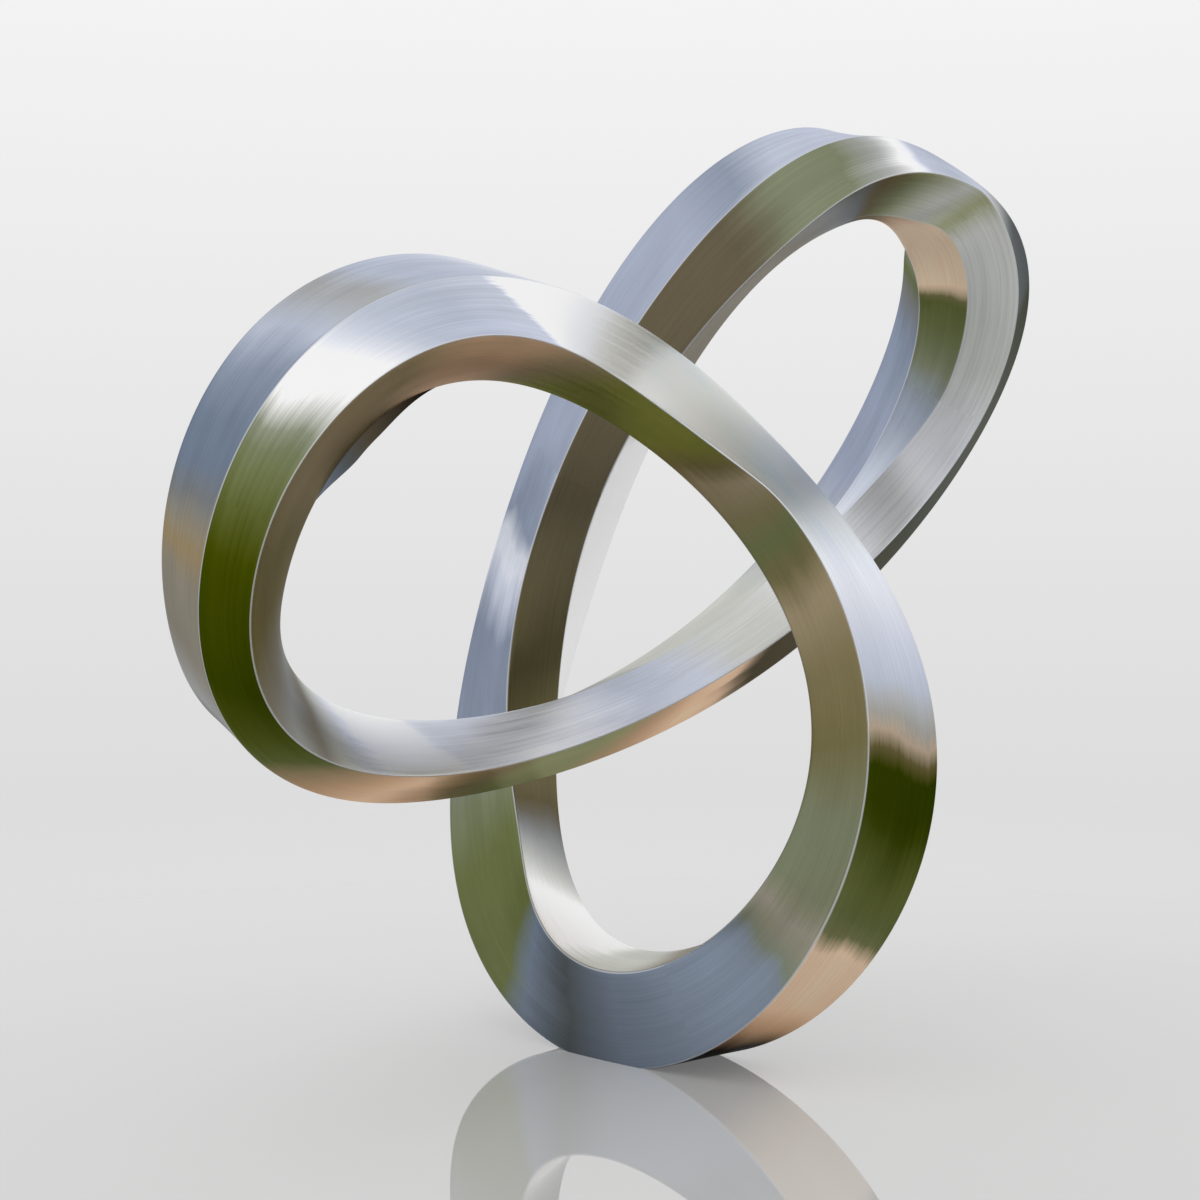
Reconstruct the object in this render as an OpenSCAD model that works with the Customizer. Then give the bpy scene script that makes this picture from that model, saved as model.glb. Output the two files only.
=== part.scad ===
// Garden sculpture: one closed loop of hollow four-sided section, welded up from mitred
// stainless strips. The section makes half a turn in one lap, so each face runs on into
// the one opposite. X is to the right, Y goes back, Z is up, and the ground is at zero.

/* [Loop] */
// Size of the loop: all places along its path are shares of this
lobe_reach = 490; // [485:5:560]
// Width of a face of the section where the section is even
face_w = 266; // [230:1:270]

/* [Sheet] */
// Thickness of the face strips
skin = 3; // [2:0.5:5]
// Thickness of the ribs inside
rib_t = 4; // [3:1:8]
// Root gap of the welds between the strips and what is inside them
weld_gap = 0.3; // [0.2:0.1:0.5]

/* [Foot] */
// Height that the flat underside takes off the lowest lobe
foot_cut = 12; // [10:1:16]
// Thickness of the plate in the underside
plate_t = 12; // [10:1:16]
// Distance between anchor holes, left to right
anchor_pitch_x = 75; // [60:1:80]
// Distance between anchor holes, front to back
anchor_pitch_y = 50; // [40:1:55]
// Diameter of the anchor holes through the plate
anchor_hole_d = 11; // [10.5:0.5:12]
// Nominal thread diameter of the anchor nuts
anchor_thread_d = 10; // [8:1:10]

/* [Hidden] */
// The path's shares of lobe_reach: the middle first, then a cosine and a sine share for
// each whole number of waves in one lap
across_shares = [[0.27, 0], [0.06, -0.6], [0.25, -0.96], [-0.01, 0], [0.07, -0.03], [0.01, -0.04], [-0.02, -0.03]];
back_shares = [[0, 0], [-0.13, -0.89], [0.29, -0.27], [0.51, -0.13], [-0.09, 0.04], [0.06, 0], [0.07, -0.05]];
up_shares = [[0.24, 0], [0.59, -0.38], [-1.04, -0.65], [0.03, 0.02], [0.09, -0.09], [-0.05, -0.02], [-0.04, 0.02]];

// Turn of the section about the path, in degrees, on top of the even half turn
roll_waves = [[23, 0], [-29, 42], [-5, 10], [-13, 2], [9, -3], [0, -1], [-3, 0], [2, 2], [2, -1]];

// The section has two corner edges, each of which passes round the loop twice. Their
// reach from the path and their lean round it change in waves over those two laps.
edge_reach_shares = [
    [[0.94, 0], [-0.17, 0.1], [0.13, 0.07], [-0.23, -0.31], [-0.08, -0.1], [-0.17, 0.04]],
    [[0.69, 0], [0.06, -0.16], [-0.07, -0.07], [-0.09, 0.11], [0.13, 0.04], [-0.21, 0.01]],
];
edge_lean_waves = [
    [[-1, 0], [-3, -10], [-8, 6], [0, -1], [2, -4], [-1, -7]],
    [[1, 0], [7, -1], [8, -6], [35, 31], [-2, 5], [12, -5]],
];

lap = 360;
corner_count = 4;
corner_turn = lap / corner_count;
segment_count = 12;
rings_per_segment = 20;
ring_count = segment_count * rings_per_segment;
ring_turn = lap / ring_count;
// Where the first segment starts, so that the foot falls in the middle of one segment
first_joint = 5;
// Where along the path the middle of the foot is
foot_angle = 194;
towards_viewer = [0, -1, 0];

nut_across = 1.6 * anchor_thread_d;
nut_h = 0.9 * anchor_thread_d;
hex_sides = 6;
// More than the whole sculpture, for cutting at the ground
ground_span = 4 * lobe_reach;
overcut = 1;

steel = "LightSteelBlue";
rib_steel = "SlateGray";
plate_steel = "Silver";
nut_steel = "DimGray";

function unit(v) = v / norm(v);
function total(values) = [for (v = values) 1] * values;

// Sum of waves at an angle, and its slope per radian
function wave(waves, a) =
    total([for (k = [0:len(waves) - 1]) waves[k][0] * cos(k * a) + waves[k][1] * sin(k * a)]);
function wave_slope(waves, a) =
    total([for (k = [0:len(waves) - 1]) k * (waves[k][1] * cos(k * a) - waves[k][0] * sin(k * a))]);

function path(a) = lobe_reach * [wave(across_shares, a), wave(back_shares, a), wave(up_shares, a)];
function heading(a) = unit([wave_slope(across_shares, a), wave_slope(back_shares, a), wave_slope(up_shares, a)]);

function corner(a, c) =
    let (
        ahead = heading(a),
        front = unit(towards_viewer - ahead * (ahead * towards_viewer)),
        side = cross(ahead, front),
        lap_angle = (a + lap * floor(c / 2)) / 2,
        reach = face_w / sqrt(2) * wave(edge_reach_shares[c % 2], lap_angle),
        turn = wave(roll_waves, a) - a / 2 + corner_turn * c + wave(edge_lean_waves[c % 2], lap_angle)
    )
    path(a) + reach * (cos(turn) * front + sin(turn) * side);

// The section's corners, in the plane square to the path
function section(a) = [for (c = [0:corner_count - 1]) corner(a, c)];

// A section drawn in by a depth measured square to each of its sides
function drawn_in(ring, depth) = [
    for (c = [0:corner_count - 1])
        let (
            on = unit(ring[(c + 1) % corner_count] - ring[c]),
            back = unit(ring[(c + corner_count - 1) % corner_count] - ring[c])
        )
        ring[c] + depth * (on + back) / norm(cross(on, back))
];

// Where a section's outline passes a height
function passes(ring, height) = [
    for (c = [0:corner_count - 1])
        let (from = ring[c], to = ring[(c + 1) % corner_count])
            if ((from.z < height) != (to.z < height))
                from + (to - from) * (height - from.z) / (to.z - from.z)
];

function ring_angle(i) = first_joint + i * ring_turn;
free_rings = [for (i = [0:ring_count]) section(ring_angle(i))];
lowest = min([for (ring = free_rings) for (p = ring) p.z]);
ground = lowest + foot_cut;
foot_passes = passes(section(foot_angle), ground);
foot_middle = (foot_passes[0] + foot_passes[1]) / 2;

outer_rings = [for (ring = free_rings) [for (p = ring) p - foot_middle]];
inner_rings = [for (ring = outer_rings) drawn_in(ring, skin)];

function lowest_of(rings) = min([for (ring = rings) for (p = ring) p.z]);
function flat(lists) = [for (list = lists) for (item = list) item];

// Solid through rings of four points each, closed at both ends. Each bent side is two
// triangles a step: the diagonal of the first sides runs forward, that of the rest back.
module loft(rings, forward = corner_count) {
    n = corner_count;
    last = len(rings) - 1;
    start_cap = [for (j = [0:n - 1]) j];
    end_cap = [for (j = [n - 1:-1:0]) last * n + j];
    sides = [
        for (i = [0:last - 1])
            for (j = [0:n - 1])
                let (
                    a = i * n + j,
                    b = i * n + (j + 1) % n,
                    c = b + n,
                    d = a + n
                )
                    each j < forward ? [[a, d, c], [a, c, b]] : [[a, d, b], [b, d, c]]
    ];
    polyhedron(points = flat(rings), faces = concat([start_cap, end_cap], sides));
}

// Takes off what is below the ground
module above_ground() {
    difference() {
        children();
        translate([-ground_span / 2, -ground_span / 2, -ground_span])
            cube(ground_span);
    }
}

// The foot's flat takes the whole width of one face, which is therefore two strips there
foot_segment = floor((foot_angle - first_joint) / ring_turn / rings_per_segment) + 1;
foot_ring = round((foot_angle - first_joint) / ring_turn);
foot_face = 3;

face_letters = ["a", "b", "c", "d"];
function strip_name(segment, face) =
    str("segment_", segment < 10 ? "0" : "", segment, "_strip_", face_letters[face]);

// Each strip's name, its face, and the rings that it runs from and to
strips = [
    for (segment = [1:segment_count])
        for (face = [0:corner_count - 1])
            let (
                name = strip_name(segment, face),
                from = (segment - 1) * rings_per_segment,
                to = from + rings_per_segment
            )
                each segment == foot_segment && face == foot_face
                    ? [[str(name, "_front"), face, from, foot_ring], [str(name, "_rear"), face, foot_ring, to]]
                    : [[name, face, from, to]]
];

// One face of one segment, mitred into its neighbours at both corner edges
module face_strip(face, from, to) {
    next = (face + 1) % corner_count;
    rings = [
        for (i = [from:to])
            [outer_rings[i][face], outer_rings[i][next], inner_rings[i][next], inner_rings[i][face]]
    ];
    color(steel)
        if (lowest_of(rings) < 0)
            above_ground() loft(rings, corner_count / 2);
        else
            loft(rings, corner_count / 2);
}

// Diaphragm plates inside the section, one at each joint between two segments
module ribs() {
    color(rib_steel)
        for (segment = [0:segment_count - 1])
            let (
                a = first_joint + segment * lap / segment_count,
                speed = norm(path(a + ring_turn / 2) - path(a - ring_turn / 2)) / ring_turn,
                half = rib_t / speed / 2
            )
                loft([
                    for (at = [a - half, a + half])
                        [for (p = drawn_in(section(at), skin + weld_gap)) p - foot_middle]
                ]);
}

module anchor_places() {
    for (x = [-1, 1], y = [-1, 1])
        translate([x * anchor_pitch_x / 2, y * anchor_pitch_y / 2, 0])
            children();
}

foot_rings = [for (i = [1:ring_count - 1]) if (lowest_of([inner_rings[i]]) < plate_t) i];

// Flat plate let into the underside, its rim following the inside of the strips
module foot_plate() {
    rings = [
        for (i = [min(foot_rings) - 1:max(foot_rings) + 1])
            drawn_in(outer_rings[i], skin + weld_gap)
    ];
    color(plate_steel)
        difference() {
            intersection() {
                loft(rings);
                translate([-ground_span / 2, -ground_span / 2, 0])
                    cube([ground_span, ground_span, plate_t]);
            }
            anchor_places()
                translate([0, 0, -overcut])
                    cylinder(d = anchor_hole_d, h = plate_t + 2 * overcut, $fn = 48);
        }
}

// Nuts welded to the inner side of the plate, over its holes
module anchor_nuts() {
    color(nut_steel)
        anchor_places()
            translate([0, 0, plate_t])
                difference() {
                    cylinder(d = nut_across / cos(lap / hex_sides / 2), h = nut_h, $fn = hex_sides);
                    translate([0, 0, -overcut])
                        cylinder(d = anchor_thread_d, h = nut_h + 2 * overcut, $fn = 48);
                }
}

for (strip = strips)
    face_strip(strip[1], strip[2], strip[3]);
ribs();
foot_plate();
anchor_nuts();
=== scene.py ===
# %% [markdown]
# # A looped sculpture of brushed stainless steel
#
# The real object is one closed loop of hollow four-sided section, welded up from bent
# strips of steel sheet and ground smooth. It stands in a garden, and its faces mirror sky,
# lawn, hedge and path. Here those reflections are painted onto the steel as its colour,
# with painted highlights and painted shade among them. This lesson dresses the plain
# construction model: each strip gets a smooth surface with softly ground edges, and then
# its brushed finish with the painted reflections.

# %% Start from the construction model
import bpy
import math
import numpy as np
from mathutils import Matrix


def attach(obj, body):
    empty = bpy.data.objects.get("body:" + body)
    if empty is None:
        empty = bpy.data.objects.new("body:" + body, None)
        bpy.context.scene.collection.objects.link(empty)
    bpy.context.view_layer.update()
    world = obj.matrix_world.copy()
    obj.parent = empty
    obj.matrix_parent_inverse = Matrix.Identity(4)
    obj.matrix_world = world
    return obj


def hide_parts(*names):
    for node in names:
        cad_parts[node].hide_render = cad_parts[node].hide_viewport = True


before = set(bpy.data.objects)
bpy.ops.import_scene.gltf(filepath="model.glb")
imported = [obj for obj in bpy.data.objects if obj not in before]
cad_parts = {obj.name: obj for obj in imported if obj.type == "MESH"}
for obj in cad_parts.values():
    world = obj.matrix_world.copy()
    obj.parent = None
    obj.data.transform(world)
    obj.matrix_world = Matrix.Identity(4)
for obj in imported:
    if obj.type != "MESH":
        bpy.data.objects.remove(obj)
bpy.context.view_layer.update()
print("nodes in the construction model:", len(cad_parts))

# %% [markdown]
# ## Camera
#
# The photograph looks level at the middle of the sculpture from about four metres. The
# camera comes first, because each later step is judged through it. Its place is kept in
# the maker's own axes, and is moved by the middle of the foot once that is known.

# %% Camera with a long lens
bpy.ops.object.camera_add(location=(0, 0, 0), rotation=(math.radians(90), 0, 0))
camera = bpy.context.object
camera.name = "viewpoint"
camera.data.lens = 60
camera.data.sensor_width = 36
camera.data.dof.use_dof = False
bpy.context.scene.camera = camera
camera_back = 3.92
print("camera lens", camera.data.lens, "mm")

# %% [markdown]
# ## The shape of the loop
#
# A bent bar could be drawn as a curve with a profile swept along it, but a curve object
# gives no hold on each corner of the section. The loop is instead a sum of a few whole
# waves per lap, the same ones as in the construction model, in metres. The four corners
# stand round that path, and the section makes half a turn in one lap, so that each face
# runs on into the one opposite.

# %% Shares and waves of the loop
lobe_reach = 0.49
face_width = 0.266
skin = 0.003
foot_cut = 0.012
foot_angle = 194
first_joint = 5
segment_count = 12
corner_count = 4
lap = 360
lap_end = first_joint + lap

# Cosine and sine shares of the lobe's reach for 0, 1, 2 and more waves in a lap
across_shares = [(0.27, 0), (0.06, -0.6), (0.25, -0.96), (-0.01, 0),
                 (0.07, -0.03), (0.01, -0.04), (-0.02, -0.03)]
back_shares = [(0, 0), (-0.13, -0.89), (0.29, -0.27), (0.51, -0.13),
               (-0.09, 0.04), (0.06, 0), (0.07, -0.05)]
up_shares = [(0.24, 0), (0.59, -0.38), (-1.04, -0.65), (0.03, 0.02),
             (0.09, -0.09), (-0.05, -0.02), (-0.04, 0.02)]
# Degrees that the section turns, on top of its half turn in a lap
roll_waves = [(23, 0), (-29, 42), (-5, 10), (-13, 2), (9, -3), (0, -1), (-3, 0), (2, 2), (2, -1)]
# The two corner edges each go round twice: their reach from the path, and their lean
edge_reach_shares = [
    [(0.94, 0), (-0.17, 0.1), (0.13, 0.07), (-0.23, -0.31), (-0.08, -0.1), (-0.17, 0.04)],
    [(0.69, 0), (0.06, -0.16), (-0.07, -0.07), (-0.09, 0.11), (0.13, 0.04), (-0.21, 0.01)],
]
edge_lean_waves = [
    [(-1, 0), (-3, -10), (-8, 6), (0, -1), (2, -4), (-1, -7)],
    [(1, 0), (7, -1), (8, -6), (35, 31), (-2, 5), (12, -5)],
]


def wave(waves, degrees):
    a = math.radians(degrees)
    return sum(c * math.cos(k * a) + s * math.sin(k * a) for k, (c, s) in enumerate(waves))


def wave_slope(waves, degrees):
    a = math.radians(degrees)
    return sum(k * (s * math.cos(k * a) - c * math.sin(k * a)) for k, (c, s) in enumerate(waves))


def unit(v):
    return v / np.linalg.norm(v)


# %% Path, heading and corners at an angle
path_waves = [across_shares, back_shares, up_shares]


def path(a):
    return lobe_reach * np.array([wave(w, a) for w in path_waves])


def heading(a):
    return unit(np.array([wave_slope(w, a) for w in path_waves]))


def corner(a, c):
    ahead = heading(a)
    towards_viewer = np.array([0.0, -1.0, 0.0])
    front = unit(towards_viewer - ahead * (ahead @ towards_viewer))
    side = np.cross(ahead, front)
    lap_angle = (a + lap * (c // 2)) / 2
    reach = face_width / math.sqrt(2) * wave(edge_reach_shares[c % 2], lap_angle)
    # The section turns half as fast as the path goes round, and its corners stand evenly
    turn = wave(roll_waves, a) - a / 2 + lap / corner_count * c
    turn = math.radians(turn + wave(edge_lean_waves[c % 2], lap_angle))
    return path(a) + reach * (math.cos(turn) * front + math.sin(turn) * side)


def section(a):
    return np.array([corner(a, c) for c in range(corner_count)])


# %% Ground and the middle of the foot
# The construction model has this many rings in a lap, and the lowest sets the ground
built_ring_count = 240
built_rings = [section(first_joint + lap / built_ring_count * i) for i in range(built_ring_count)]
ground = min(ring[:, 2].min() for ring in built_rings) + foot_cut


def passes(ring, height):
    found = []
    for c in range(corner_count):
        start, end = ring[c], ring[(c + 1) % corner_count]
        if (start[2] < height) != (end[2] < height):
            found.append(start + (end - start) * (height - start[2]) / (end[2] - start[2]))
    return found


foot_middle = sum(passes(section(foot_angle), ground)) / 2
camera.location = tuple(np.array([0, -camera_back, 0]) - foot_middle)
print("middle of the foot", foot_middle.round(4))
print("camera at", [round(v, 3) for v in camera.location])

# %% [markdown]
# ## Face strips
#
# Each strip is a bent sheet, mitred into its neighbours along the corners, and the welds
# on the corners are ground to a narrow round. Blender's modelling tools start from plain
# shapes and can't follow this twist, so each strip is made in mesh code: rings of points
# every half degree of the loop, joined by quads. A ring's outer side is the face, with
# half of a rounded corner at either end. On the inner sides of two lobes the sheet is
# folded lengthways to get round the tight bend, so the ring gets a ridge there.

# %% Points of one strip's ring
# How far a ground corner reaches along each face, in metres
ground_round = 0.0045
# Shares of the flat of a face, which starts after the three points of its corner
middle_share = 0.5
across_face = [0.06, 0.14, 0.26, 0.38, middle_share, 0.62, 0.74, 0.86, 0.94]
corner_points = 3
fold_point = corner_points + across_face.index(middle_share)
# Both corners and the face between them, and then two points inside the sheet
outer_points = 2 * corner_points + len(across_face)
ring_points = outer_points + 2
# Each fold: the angles over which it rises and fades, the edge that it starts from and
# its place across at the middle as shares of the width, its height, and how far its ridge
# leans past the first edge
folds = {
    1: {"rises": (62, 76), "fades": (80, 95), "edge": 0.02, "middle": 0.06,
        "height": 0.016, "lean": 0.036},
    2: {"rises": (279, 312), "fades": (332, 356), "edge": 0.93, "middle": 0.43,
        "height": 0.026, "lean": 0},
}


def smooth_step(low, high, value):
    x = min(max((value - low) / (high - low), 0), 1)
    return x * x * (3 - 2 * x)


def fold_strength(a, face):
    return smooth_step(*folds[face]["rises"], a) * (1 - smooth_step(*folds[face]["fades"], a))


def is_folded(face, start, end):
    return face in folds and end > folds[face]["rises"][0] and start < folds[face]["fades"][1]


print("points in a ring", ring_points)

# %% Corners of one strip's ring
def from_corner(ring, c):
    on = unit(ring[(c + 1) % corner_count] - ring[c])
    back = unit(ring[(c - 1) % corner_count] - ring[c])
    return on, back


def drawn_in(ring, c):
    on, back = from_corner(ring, c)
    return ring[c] + skin * (on + back) / np.linalg.norm(np.cross(on, back))


# Point on the parabola that rounds a sharp corner
def on_round(start, sharp, end, share):
    return (1 - share) ** 2 * start + 2 * share * (1 - share) * sharp + share ** 2 * end


# Half of a corner's round, from its middle to where this strip's flat face starts
def rounded(ring, c, face_goes_on):
    on, back = from_corner(ring, c)
    here, there = (on, back) if face_goes_on else (back, on)
    tangent = ring[c] + ground_round * here
    beyond = ring[c] + ground_round * there
    return [on_round(tangent, ring[c], beyond, share) for share in (0.5, 0.25)] + [tangent]


# %% One strip's ring
def strip_ring(a, face, folded):
    ring = section(a) - foot_middle
    after = (face + 1) % corner_count
    first_round = rounded(ring, face, True)
    second_round = rounded(ring, after, False)
    tangent_1, tangent_2 = first_round[-1], second_round[-1]
    outward = np.cross(ring[after] - ring[face], heading(a))
    outward = unit(outward) if outward @ (ring[face] - ring.mean(axis=0)) > 0 else -unit(outward)
    fold_at, rise = middle_share, 0
    if folded:
        fold, strength = folds[face], fold_strength(a, face)
        fold_at = fold["edge"] + (fold["middle"] - fold["edge"]) * strength
        along_face = (tangent_2 - tangent_1) / np.linalg.norm(tangent_2 - tangent_1)
        rise = strength * (fold["height"] * outward - fold["lean"] * along_face)
    points = first_round
    for share in across_face:
        # The middle point moves to the fold, and the others with it
        if share <= middle_share:
            share = share * fold_at / middle_share
        else:
            share = 1 - (1 - share) * (1 - fold_at) / (1 - middle_share)
        nearness = min(share / fold_at, (1 - share) / (1 - fold_at))
        points.append(tangent_1 + (tangent_2 - tangent_1) * share + rise * nearness)
    return points + second_round[::-1] + [drawn_in(ring, after), drawn_in(ring, face)]


# %% [markdown]
# The rings are joined into a closed mesh. Two sets of flattened coordinates are kept with
# it: one counts the loop's laps and the share across the face, and places the tones; the
# other is in real metres, along and across the strip, and carries the brush marks.

# %% Length along the loop
rings_per_degree = 2
ring_step = 1 / rings_per_degree
path_angles = np.arange(0, lap_end + 1 + ring_step, ring_step)
path_steps = [np.linalg.norm(path(a + ring_step) - path(a)) for a in path_angles[:-1]]
path_length = np.concatenate([[0], np.cumsum(path_steps)])


def length_at(a):
    return float(np.interp(a, path_angles, path_length))


print("length of the loop", round(length_at(lap), 3), "m")

# %% Flattened coordinates of one strip
def flatten(mesh, rings, angles, face, folded):
    n = ring_points
    across = [0.0]
    middle_ring = rings[(len(rings) - 1) // 2]
    for j in range(1, outer_points):
        across.append(across[-1] + float(np.linalg.norm(middle_ring[j] - middle_ring[j - 1])))
    width = across[-1]
    # The two points inside the sheet take the places of the edges in front of them
    across += [width, 0.0]
    lap_map = mesh.uv_layers.new(name="lap")
    brush_map = mesh.uv_layers.new(name="brush")
    fold_width = across[fold_point]
    # The third and fourth faces run on into the first and second after one lap
    along = length_at(lap) if face < 2 else 0
    # Faces side by side lie a metre apart on the brush map, so that their marks differ
    aside = face % 2
    for polygon in mesh.polygons:
        columns = [mesh.loops[k].vertex_index % n for k in polygon.loop_indices]
        beyond = folded and min(columns) >= fold_point and max(columns) < outer_points
        before = folded and max(columns) <= fold_point
        polygon.material_index = 1 if beyond else 0
        for k in polygon.loop_indices:
            i, j = divmod(mesh.loops[k].vertex_index, n)
            share = across[j] / width
            if beyond:
                share = (across[j] - fold_width) / (width - fold_width)
            elif before:
                share = across[j] / fold_width
            lap_map.data[k].uv = (angles[i] / lap_end, share)
            brush_map.data[k].uv = (along + length_at(angles[i]), aside + across[j])


# %% Mesh of one strip
pieces = []


def strip(name, face, start, end, node):
    angles = np.linspace(start, end, int(round((end - start) * rings_per_degree)) + 1)
    folded = is_folded(face, start, end)
    rings = [strip_ring(a, face, folded) for a in angles]
    n = ring_points
    points = [p for ring in rings for p in ring]
    last = len(rings) - 1
    faces = []
    for i in range(last):
        for j in range(n):
            here, beside = i * n + j, i * n + (j + 1) % n
            faces.append((here, beside, beside + n, here + n))
    faces.append(tuple(range(n - 1, -1, -1)))
    faces.append(tuple(last * n + j for j in range(n)))
    mesh = bpy.data.meshes.new(name)
    mesh.from_pydata([tuple(p) for p in points], [], faces)
    flatten(mesh, rings, angles, face, folded)
    piece = bpy.data.objects.new(name, mesh)
    bpy.context.collection.objects.link(piece)
    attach(piece, "root")
    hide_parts(node)
    pieces.append((piece, face, folded))


# %% All forty-nine strips
turn_per_segment = lap / segment_count
face_letters = "abcd"
# The face that stands on the ground is two strips in this segment
foot_segment = int((foot_angle - first_joint) // turn_per_segment) + 1
foot_face = 3
for segment in range(1, segment_count + 1):
    start = first_joint + (segment - 1) * turn_per_segment
    end = start + turn_per_segment
    for face in range(corner_count):
        letter = face_letters[face]
        node = f"segment_{segment:02d}_strip_{letter}"
        if segment == foot_segment and face == foot_face:
            strip(f"skin_{segment:02d}_{letter}_front", face, start, foot_angle, node + "_front")
            strip(f"skin_{segment:02d}_{letter}_rear", face, foot_angle, end, node + "_rear")
        else:
            strip(f"skin_{segment:02d}_{letter}", face, start, end, node)
print("strips", len(pieces))

# %% [markdown]
# The mesh code leaves the direction of the faces to chance, so Blender turns them
# outward. Edges that bend less than 40 degrees shade smoothly, which takes in the ground
# corners, and sharper ones stay crisp. Where a strip passes below the ground it is cut
# off, as the real one is flat there: a big block is taken away from it with a Boolean
# modifier.

# %% Turn the faces outward, shade them, and cut the foot
def select_only(piece):
    bpy.ops.object.select_all(action="DESELECT")
    piece.select_set(True)
    bpy.context.view_layer.objects.active = piece


earth_size = 4
smooth_below = math.radians(40)
bpy.ops.mesh.primitive_cube_add(size=earth_size, location=(0, 0, -earth_size / 2))
earth = bpy.context.object
cut_count = 0
for piece, face, folded in pieces:
    select_only(piece)
    bpy.ops.object.mode_set(mode="EDIT")
    bpy.ops.mesh.select_all(action="SELECT")
    bpy.ops.mesh.normals_make_consistent(inside=False)
    bpy.ops.object.mode_set(mode="OBJECT")
    if min(v.co.z for v in piece.data.vertices) < 0:
        bpy.ops.object.modifier_add(type="BOOLEAN")
        cut = piece.modifiers[-1]
        cut.object = earth
        cut.operation = "DIFFERENCE"
        cut.solver = "EXACT"
        bpy.ops.object.modifier_apply(modifier=cut.name)
        cut_count += 1
    bpy.ops.object.shade_smooth_by_angle(angle=smooth_below)
    if folded:
        for edge in piece.data.edges:
            if all(v % ring_points == fold_point for v in edge.vertices):
                edge.use_edge_sharp = True
select_only(earth)
bpy.ops.object.delete()
print("strips cut at the ground", cut_count)

# %% [markdown]
# ## Colours
#
# Brushed steel shows the garden round it in soft patches, and these are painted onto the
# steel as its colour: painted reflections, with painted highlights in the palest tones and
# painted shade in the darkest. Each patch is one of a few named tones, written as a screen
# colour, which is turned into a linear one here. The stains on the plates and nuts below
# borrow one of them.

# %% Tones of the garden painted on the steel, with painted highlights and shade
# The standard curve between screen values and light
def linear_share(v):
    return v / 12.92 if v <= 0.04045 else ((v + 0.055) / 1.055) ** 2.4


def linear(screen):
    values = [int(screen[i:i + 2], 16) / 255 for i in (1, 3, 5)]
    return tuple(linear_share(v) for v in values) + (1,)


# Painted reflections of the garden. The palest tones are painted highlights and the darkest is
# painted shade. Bark also colours the real stains on the plates below.
painted_light_and_stain_tones = {
    "glare": "#fafafb",
    "frost": "#e9eefb",
    "cloud": "#dddfe5",
    "pearl": "#c6cad6",
    "mist": "#c9cac5",
    "sky": "#b9bfcc",
    "dusk": "#a2a9ba",
    "storm": "#8f98a8",
    "slate": "#7b8696",
    "haze": "#abacab",
    "grey": "#868889",
    "iron": "#595e60",
    "beige": "#9a958a",
    "sage": "#7e846c",
    "moss": "#a3a67f",
    "fern": "#6f7650",
    "meadow": "#8c8d54",
    "lawn": "#606639",
    "leaf": "#4b5212",
    "hedge": "#38400f",
    "olive": "#77704d",
    "khaki": "#857b5a",
    "bark": "#50483a",
    "umber": "#635b48",
    "sand": "#a39478",
    "peach": "#cbae91",
    "blush": "#ebd0b6",
    "painted_shade": "#221d18",
}
print("painted_light_and_stain_tones", len(painted_light_and_stain_tones))

# %% [markdown]
# ## The finish and its painted reflections
#
# A ribbon of tones runs along each face: a list of places on the lap and the tone there.
# These are painted reflections, highlights and shade. Such reflections would come from a
# real garden round the object, but the studio has none, so they are painted onto the steel
# as its colour. One small function adds a node and links what it is given.

# %% Helper for nodes
def node_in(tree, kind, settings=None, links=None, **values):
    made = tree.nodes.new(kind)
    for key, value in values.items():
        setattr(made, key, value)
    for key, value in (settings or {}).items():
        made.inputs[key].default_value = value
    for key, source in (links or {}).items():
        tree.links.new(source, made.inputs[key])
    return made


# A Mix node has a set of sockets for each kind of value, and these are its colour ones
mix_share, mix_from, mix_to, mixed = 0, 6, 7, 2
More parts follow.
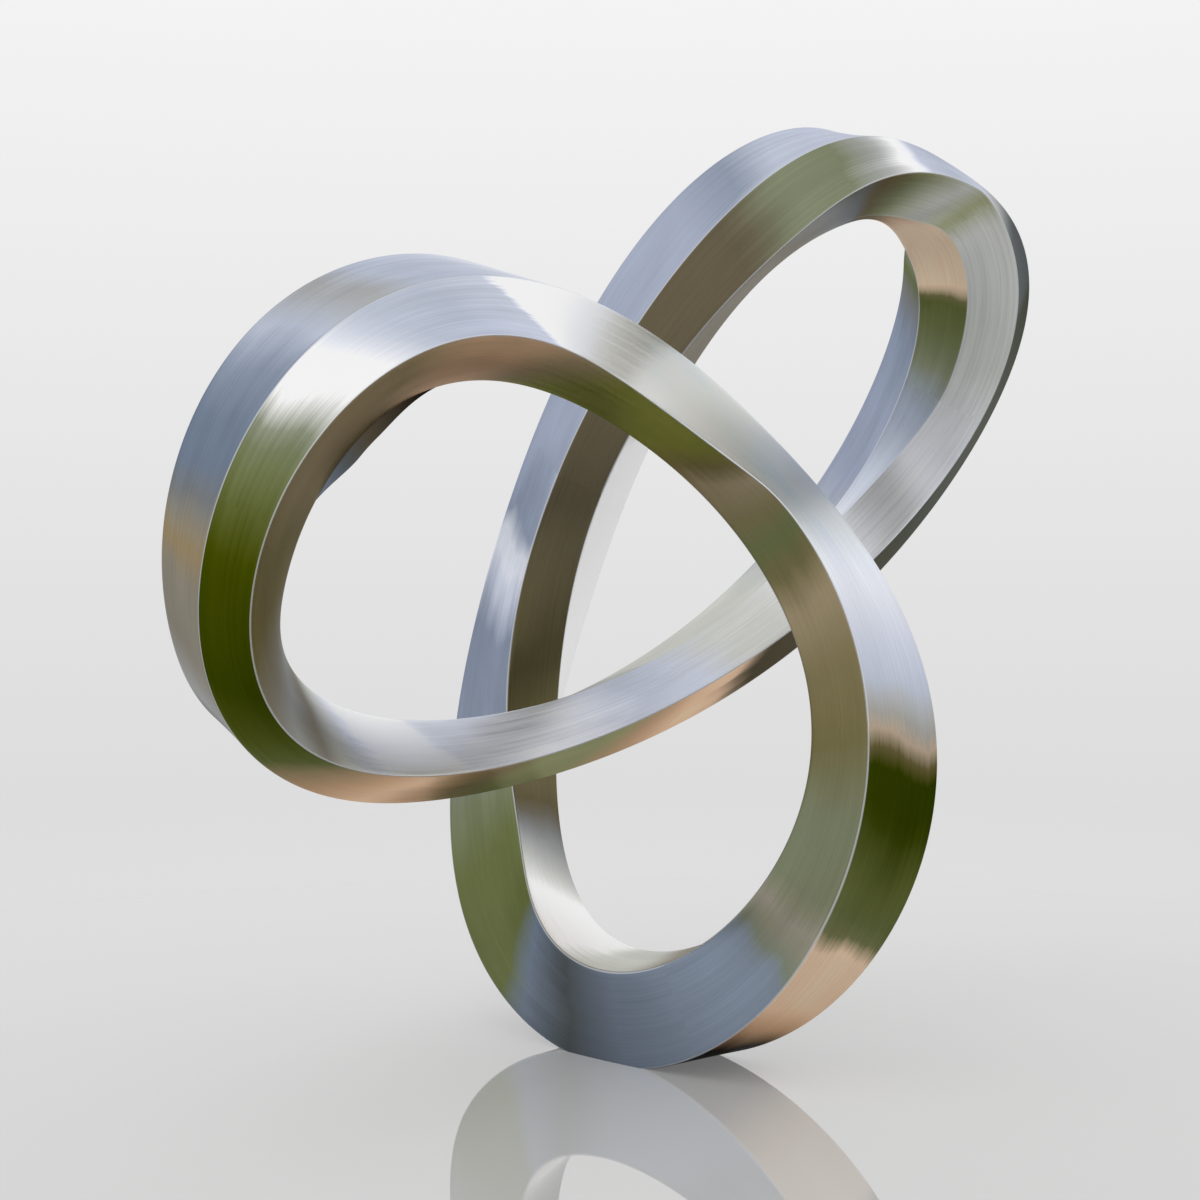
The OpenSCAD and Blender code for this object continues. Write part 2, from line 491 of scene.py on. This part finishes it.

# %% Ribbons of painted reflections, highlights and shade, one for each face
painted_reflection_ribbons = {
    "a": [
        (0, "mist"), (5, "pearl"), (9, "pearl"), (14, "cloud"), (24, "cloud"), (26, "glare"),
        (31, "glare"), (34, "cloud"), (37, "mist"), (40, "beige"), (44, "haze"), (48, "beige"),
        (55, "khaki"), (62, "khaki"), (72, "sand"), (80, "sand"), (86, "peach"), (92, "peach"),
        (96, "sand"), (101, "meadow"), (113, "meadow"), (118, "khaki"), (123, "sand"),
        (129, "khaki"), (134, "fern"), (138, "olive"), (143, "sand"), (149, "khaki"),
        (157, "olive"), (163, "sage"), (170, "sage"), (173, "beige"), (175, "sage"),
        (177, "slate"), (191, "slate"), (197, "iron"), (203, "slate"), (205, "fern"),
        (216, "fern"), (222, "sage"), (227, "storm"), (234, "storm"), (237, "pearl"),
        (239, "cloud"), (241, "storm"), (246, "dusk"), (261, "dusk"), (265, "storm"),
        (269, "sky"), (276, "pearl"), (290, "sky"), (330, "haze"), (365, "grey"),
    ],
    "b": [
        (0, "mist"), (12, "haze"), (40, "grey"), (62, "slate"), (68, "slate"), (73, "iron"),
        (79, "bark"), (88, "painted_shade"), (98, "iron"), (115, "grey"), (185, "beige"), (190, "mist"),
        (195, "mist"), (199, "glare"), (206, "glare"), (210, "mist"), (213, "haze"),
        (216, "grey"), (219, "umber"), (228, "olive"), (244, "umber"), (263, "umber"),
        (269, "sage"), (275, "sage"), (279, "haze"), (283, "glare"), (285, "pearl"),
        (290, "sky"), (302, "pearl"), (308, "haze"), (313, "iron"), (322, "iron"),
        (324, "hedge"), (346, "hedge"), (352, "umber"), (360, "umber"), (362.5, "blush"),
        (365, "blush"),
    ],
    "c": [
        (0, "haze"), (36, "iron"), (43, "haze"), (50, "beige"), (57, "beige"), (60, "sand"),
        (62, "beige"), (64, "grey"), (67, "slate"), (71, "slate"), (76, "storm"), (80, "sky"),
        (85, "haze"), (89, "sky"), (94, "pearl"), (99, "cloud"), (130, "haze"), (180, "grey"),
        (215, "haze"), (226, "glare"), (247, "glare"), (253, "beige"), (266, "beige"),
        (272, "haze"), (277, "haze"), (279, "sand"), (284, "moss"), (294, "mist"),
        (303, "moss"), (309, "mist"), (330, "mist"), (340, "cloud"), (352, "cloud"),
        (357, "mist"), (361, "mist"), (365, "pearl"),
    ],
    "c beyond the fold": [
        (275, "haze"), (277, "haze"), (279, "sand"), (284, "sand"), (289, "peach"),
        (296, "blush"), (318.5, "blush"), (321, "lawn"), (327, "fern"), (332, "sage"),
        (337, "storm"), (346, "sky"), (350, "cloud"), (352, "cloud"), (357, "mist"),
        (361, "mist"), (365, "pearl"),
    ],
    "d": [
        (0, "blush"), (5, "blush"), (8, "peach"), (12, "moss"), (18, "moss"), (21, "sand"),
        (24, "peach"), (28, "blush"), (33, "peach"), (37, "sand"), (40, "fern"), (44, "lawn"),
        (50, "leaf"), (61, "leaf"), (65, "lawn"), (68, "fern"), (71, "sage"), (73, "mist"),
        (75, "glare"), (77, "glare"), (79, "cloud"), (82, "sky"), (87, "sky"), (92, "pearl"),
        (93, "pearl"), (94, "glare"), (101, "glare"), (107, "frost"), (132, "frost"),
        (142, "cloud"), (148, "pearl"), (151, "sky"), (153, "haze"), (155, "beige"),
        (156, "peach"), (157, "hedge"), (162, "hedge"), (167, "lawn"), (171, "fern"),
        (172.5, "blush"), (178, "blush"), (181, "peach"), (184, "painted_shade"), (196, "painted_shade"),
        (202, "iron"), (220, "grey"), (312, "sage"), (320, "fern"), (326, "grey"),
        (331, "storm"), (345, "dusk"), (356, "mist"), (365, "mist"),
    ],
}
print("stops in each ribbon", {name: len(stops) for name, stops in painted_reflection_ribbons.items()})

# %% A ribbon in the material
# One colour ramp holds at most 32 stops, so a long ribbon runs through two or three
stops_in_ramp = 24


def ribbon_nodes(tree, place, stops):
    colour = None
    for first in range(0, len(stops) - 1, stops_in_ramp - 1):
        ramp = node_in(tree, "ShaderNodeValToRGB", None, {"Fac": place})
        elements = ramp.color_ramp.elements
        elements.remove(elements[1])
        for i, (degrees, tone) in enumerate(stops[first:first + stops_in_ramp]):
            element = elements[0] if i == 0 else elements.new(degrees / lap_end)
            element.position = degrees / lap_end
            element.color = linear(painted_light_and_stain_tones[tone])
        if colour is None:
            colour = ramp.outputs["Color"]
            continue
        beyond = node_in(tree, "ShaderNodeMath", {1: stops[first][0] / lap_end}, {0: place},
                         operation="GREATER_THAN")
        joined = node_in(tree, "ShaderNodeMix", None,
                         {mix_share: beyond.outputs["Value"], mix_from: colour,
                          mix_to: ramp.outputs["Color"]}, data_type="RGBA")
        colour = joined.outputs[mixed]
    return colour


# %% [markdown]
# Brushing leaves long thin streaks in the direction of the strip, made by noise that is
# stretched along it. They shift the ribbon a little, which gives the patches their
# feathered ends, lighten and darken it, and tip the surface in the bump. A slow noise
# bends the ends of the patches too. The finest real marks are a few hundredths of a
# millimetre wide and wouldn't show, so they are drawn about ten times as coarse.

# %% Streaks along the strips
# For each kind: how many to the metre along and across the strip, and their detail
streak_kinds = {"wide": (2, 160, 3), "fine": (12, 1600, 2), "slow": (4, 9, 2)}


def streak_noises(tree):
    brush = node_in(tree, "ShaderNodeUVMap", uv_map="brush")
    noises = {}
    for kind, (along, across, detail) in streak_kinds.items():
        stretch = node_in(tree, "ShaderNodeMapping", {"Scale": (along, across, 1)},
                          {"Vector": brush.outputs["UV"]})
        noise = node_in(tree, "ShaderNodeTexNoise", {"Scale": 1, "Detail": detail},
                        {"Vector": stretch.outputs["Vector"]}, noise_dimensions="2D")
        noises[kind] = noise.outputs["Fac"]
    return noises


# %% What the streaks do to the ribbon
# Shares of the lap by which they shift it
shifts = {"wide": 0.0012, "slow": 0.004}
# Factors for its light. The first are above one, because the steel comes out a little
# darker than its tones are written.
gains = {"wide": (1.14, 1.3), "fine": (0.96, 1.04), "slow": (0.95, 1.05)}
# Most of a noise lies between these two values
noise_low, noise_high = 0.3, 0.7


def shifted(tree, place, noises):
    for kind, reach in shifts.items():
        shift = node_in(tree, "ShaderNodeMapRange", {"To Min": -reach, "To Max": reach},
                        {"Value": noises[kind]})
        moved = node_in(tree, "ShaderNodeMath", None, {0: place, 1: shift.outputs["Result"]},
                        operation="ADD")
        place = moved.outputs["Value"]
    return place


def lit(tree, tone, noises):
    light = None
    for kind, (low, high) in gains.items():
        levels = {"From Min": noise_low, "From Max": noise_high, "To Min": low, "To Max": high}
        part = node_in(tree, "ShaderNodeMapRange", levels,
                       {"Value": noises[kind]}).outputs["Result"]
        if light is not None:
            part = node_in(tree, "ShaderNodeMath", None, {0: light, 1: part},
                           operation="MULTIPLY").outputs["Value"]
        light = part
    return node_in(tree, "ShaderNodeVectorMath", None, {0: tone, "Scale": light},
                   operation="SCALE").outputs["Vector"]


# %% Painted highlight on the ground edges
# The painted highlight starts and is full at these shares of the width from the middle of the
# face
highlight_starts, highlight_full = 0.485, 0.492
highlight_strength = 0.55


def edge_highlighted(tree, colour, across):
    from_middle = node_in(tree, "ShaderNodeMath", {1: middle_share}, {0: across},
                          operation="SUBTRACT")
    distance = node_in(tree, "ShaderNodeMath", None, {0: from_middle.outputs["Value"]},
                       operation="ABSOLUTE")
    highlight = node_in(tree, "ShaderNodeMapRange",
                   {"From Min": highlight_starts, "From Max": highlight_full, "To Max": highlight_strength},
                   {"Value": distance.outputs["Value"]})
    # A pale tone mixed in towards both edges of a face is a painted highlight on the ground
    # corners
    highlighted = node_in(tree, "ShaderNodeMix", {mix_to: linear(painted_light_and_stain_tones["cloud"])},
                    {mix_share: highlight.outputs["Result"], mix_from: colour}, data_type="RGBA")
    return highlighted.outputs[mixed]


# %% [markdown]
# Stainless steel is a bare metal, so its colour is the colour of what it gives back, and
# here that is painted on as the ribbons of reflections.
# Brushed with a belt it is moderately rough. The anisotropy draws its sheen out along the
# strip, and a quarter turn of it would spread the sheen across the marks. Bare metal turns
# white where it is seen at a slant, and the narrow faces would lose their tones, so the
# colour at a slant is the tone with some white.

# %% Brushed stainless for one face
rough_low, rough_high = 0.3, 0.44
white_at_a_slant = 0.2
fine_in_bump = 0.35


def brushed(name, stops):
    material = bpy.data.materials.new("brushed_stainless_painted_reflections_" + name.replace(" ", "_"))
    material.use_nodes = True
    tree = material.node_tree
    shader = tree.nodes["Principled BSDF"]
    shader.inputs["Metallic"].default_value = 1
    shader.inputs["Anisotropic"].default_value = 0.6
    noises = streak_noises(tree)
    lap_place = node_in(tree, "ShaderNodeUVMap", uv_map="lap")
    parts = node_in(tree, "ShaderNodeSeparateXYZ", None, {"Vector": lap_place.outputs["UV"]})
    tone = ribbon_nodes(tree, shifted(tree, parts.outputs["X"], noises), stops)
    colour = edge_highlighted(tree, lit(tree, tone, noises), parts.outputs["Y"])
    # The base colour is the painted reflections, highlights and shade, with the painted highlight
    # on the edges
    tree.links.new(colour, shader.inputs["Base Color"])
    slanting = node_in(tree, "ShaderNodeMix", {mix_share: white_at_a_slant, mix_to: (1, 1, 1, 1)},
                       {mix_from: colour}, data_type="RGBA")
    tree.links.new(slanting.outputs[mixed], shader.inputs["Specular Tint"])
    rough = node_in(tree, "ShaderNodeMapRange", {"To Min": rough_low, "To Max": rough_high},
                    {"Value": noises["wide"]})
    tree.links.new(rough.outputs["Result"], shader.inputs["Roughness"])
    fine = node_in(tree, "ShaderNodeMath", {1: fine_in_bump}, {0: noises["fine"]},
                   operation="MULTIPLY")
    marks = node_in(tree, "ShaderNodeMath", None, {0: fine.outputs["Value"], 1: noises["wide"]},
                    operation="ADD")
    bump = node_in(tree, "ShaderNodeBump", {"Strength": 0.15, "Distance": 0.0004},
                   {"Height": marks.outputs["Value"]})
    tree.links.new(bump.outputs["Normal"], shader.inputs["Normal"])
    tangent = node_in(tree, "ShaderNodeTangent", direction_type="UV_MAP", uv_map="brush")
    tree.links.new(tangent.outputs["Tangent"], shader.inputs["Tangent"])
    return material


# %% Finishes with the painted reflections on the strips
painted_reflection_finishes = {name: brushed(name, stops) for name, stops in painted_reflection_ribbons.items()}
for piece, face, folded in pieces:
    letter = face_letters[face]
    piece.data.materials.append(painted_reflection_finishes[letter])
    if folded:
        piece.data.materials.append(painted_reflection_finishes.get(letter + " beyond the fold", painted_reflection_finishes[letter]))
print("painted_reflection_finishes", list(painted_reflection_finishes))

# %% [markdown]
# ## Inner plates, foot plate and nuts
#
# These stay as the construction model has them, since they are flat plates and plain
# nuts that show only from below. Mill-finished steel is duller than the brushed skin, and
# the foot plate has rolling marks and some staining from standing on damp ground.

# %% Mill-finished steel
# Rolling marks run left and right: how many to the metre along, across and in depth
rolling_marks = (6, 220, 220)
stains_per_metre = 18


def mill_steel(name, screen, roughness, stain):
    material = bpy.data.materials.new(name)
    material.use_nodes = True
    tree = material.node_tree
    shader = tree.nodes["Principled BSDF"]
    shader.inputs["Metallic"].default_value = 1
    place = node_in(tree, "ShaderNodeTexCoord").outputs["Object"]
    rolled = node_in(tree, "ShaderNodeMapping", {"Scale": rolling_marks}, {"Vector": place})
    marks = node_in(tree, "ShaderNodeTexNoise", {"Scale": 1, "Detail": 3},
                    {"Vector": rolled.outputs["Vector"]}).outputs["Fac"]
    cloudy = node_in(tree, "ShaderNodeTexNoise", {"Scale": stains_per_metre, "Detail": 4},
                     {"Vector": place}).outputs["Fac"]
    light = node_in(tree, "ShaderNodeMapRange", {"To Min": 0.8, "To Max": 1.15}, {"Value": marks})
    base = node_in(tree, "ShaderNodeVectorMath", {0: linear(screen)[:3]},
                   {"Scale": light.outputs["Result"]}, operation="SCALE")
    patch = node_in(tree, "ShaderNodeMapRange",
                    {"From Min": 0.5, "From Max": 0.75, "To Max": stain}, {"Value": cloudy})
    colour = node_in(tree, "ShaderNodeMix", {mix_to: linear(painted_light_and_stain_tones["bark"])},
                     {mix_share: patch.outputs["Result"], mix_from: base.outputs["Vector"]},
                     data_type="RGBA")
    tree.links.new(colour.outputs[mixed], shader.inputs["Base Color"])
    rough = node_in(tree, "ShaderNodeMapRange",
                    {"To Min": roughness - 0.08, "To Max": roughness + 0.1}, {"Value": cloudy})
    tree.links.new(rough.outputs["Result"], shader.inputs["Roughness"])
    bump = node_in(tree, "ShaderNodeBump", {"Strength": 0.3, "Distance": 0.0003},
                   {"Height": marks})
    tree.links.new(bump.outputs["Normal"], shader.inputs["Normal"])
    return material


plain_finishes = {
    "ribs": mill_steel("mill_finished_sheet", "#8f9193", 0.5, 0.2),
    "foot_plate": mill_steel("rolled_plate", "#9a9b9a", 0.45, 0.5),
    "anchor_nuts": mill_steel("turned_steel", "#7c7e80", 0.4, 0.3),
}
for name, material in plain_finishes.items():
    node = bpy.data.objects[name]
    node.data.materials.clear()
    node.data.materials.append(material)
print("plain finishes", list(plain_finishes))

# %% [markdown]
# ## Studio
#
# The background is pale: nearly white above and light grey below. The world gives that
# gradient to the camera, and to everything that mirrors it, while an even light falls on
# the object. The floor is a wide disc that mirrors softly near the foot, as a glossy
# studio floor does, and melts into the background further out.

# %% Backdrop and even light
world = bpy.data.worlds.new("pale_backdrop")
bpy.context.scene.world = world
world.use_nodes = True
sky_tree = world.node_tree
sky_tree.nodes.clear()
# The gradient's ends, as the height of a direction of length one
gradient_end = 0.28
even_strength = 0.8
direction = node_in(sky_tree, "ShaderNodeTexCoord")
height = node_in(sky_tree, "ShaderNodeSeparateXYZ", None,
                 {"Vector": direction.outputs["Generated"]})
level = node_in(sky_tree, "ShaderNodeMapRange",
                {"From Min": -gradient_end, "From Max": gradient_end},
                {"Value": height.outputs["Z"]})
shades = node_in(sky_tree, "ShaderNodeValToRGB", None, {"Fac": level.outputs["Result"]})
shades.color_ramp.elements[0].color = linear("#d2d2d2")
shades.color_ramp.elements[1].color = linear("#f3f3f3")
middle_shade = shades.color_ramp.elements.new(0.5)
middle_shade.color = linear("#e2e2e2")
seen = node_in(sky_tree, "ShaderNodeBackground", {"Strength": 1},
               {"Color": shades.outputs["Color"]})
even = node_in(sky_tree, "ShaderNodeBackground",
               {"Color": (1, 1, 1, 1), "Strength": even_strength})
rays = node_in(sky_tree, "ShaderNodeLightPath")
either = node_in(sky_tree, "ShaderNodeMath", None,
                 {0: rays.outputs["Is Camera Ray"], 1: rays.outputs["Is Glossy Ray"]},
                 operation="MAXIMUM")
any_seen = node_in(sky_tree, "ShaderNodeMath", None,
                   {0: either.outputs["Value"], 1: rays.outputs["Is Transmission Ray"]},
                   operation="MAXIMUM")
choice = node_in(sky_tree, "ShaderNodeMixShader", None,
                 {0: any_seen.outputs["Value"], 1: even.outputs[0], 2: seen.outputs[0]})
node_in(sky_tree, "ShaderNodeOutputWorld", None, {"Surface": choice.outputs[0]})
print("backdrop", world.name)

# %% Soft overhead lamp
lamp_tilt = (math.radians(14), math.radians(-20), 0)
bpy.ops.object.light_add(type="AREA", location=(-1.6, -1.2, 4.2), rotation=lamp_tilt)
lamp = bpy.context.object
lamp.name = "soft_overhead"
lamp.data.shape = "DISK"
lamp.data.size = 3.4
lamp.data.energy = 30
# A mirror floor would show the lamp as a disc when it is seen from above
lamp.visible_glossy = False
print("lamp", lamp.data.energy, "W")

# %% Glossy studio floor
floor_radius = 9
# Distances from the foot over which the floor melts away
melt_starts, melt_ends = 1.2, 6
bpy.ops.mesh.primitive_circle_add(vertices=96, radius=floor_radius, fill_type="NGON",
                                  location=(0, 0, 0))
floor = bpy.context.object
floor.name = "studio_floor"
floor_finish = bpy.data.materials.new("glossy_pale_floor")
floor_finish.use_nodes = True
floor_tree = floor_finish.node_tree
floor_shader = floor_tree.nodes["Principled BSDF"]
floor_shader.inputs["Base Color"].default_value = linear("#b4b4b4")
floor_shader.inputs["Emission Color"].default_value = linear("#d8d8d8")
floor_shader.inputs["Emission Strength"].default_value = 0.19
floor_shader.inputs["Roughness"].default_value = 0.02
floor_shader.inputs["IOR"].default_value = 2
floor_place = node_in(floor_tree, "ShaderNodeTexCoord")
far = node_in(floor_tree, "ShaderNodeVectorMath", None, {0: floor_place.outputs["Object"]},
              operation="LENGTH")
melt = node_in(floor_tree, "ShaderNodeMapRange", {"From Min": melt_starts, "From Max": melt_ends},
               {"Value": far.outputs["Value"]}, interpolation_type="SMOOTHSTEP")
clear = node_in(floor_tree, "ShaderNodeBsdfTransparent")
floor_mix = node_in(floor_tree, "ShaderNodeMixShader", None,
                    {0: melt.outputs["Result"], 1: floor_shader.outputs[0], 2: clear.outputs[0]})
floor_tree.links.new(floor_mix.outputs[0], floor_tree.nodes["Material Output"].inputs["Surface"])
floor.data.materials.append(floor_finish)
bpy.context.scene.view_settings.view_transform = "Standard"
print("floor", floor.name)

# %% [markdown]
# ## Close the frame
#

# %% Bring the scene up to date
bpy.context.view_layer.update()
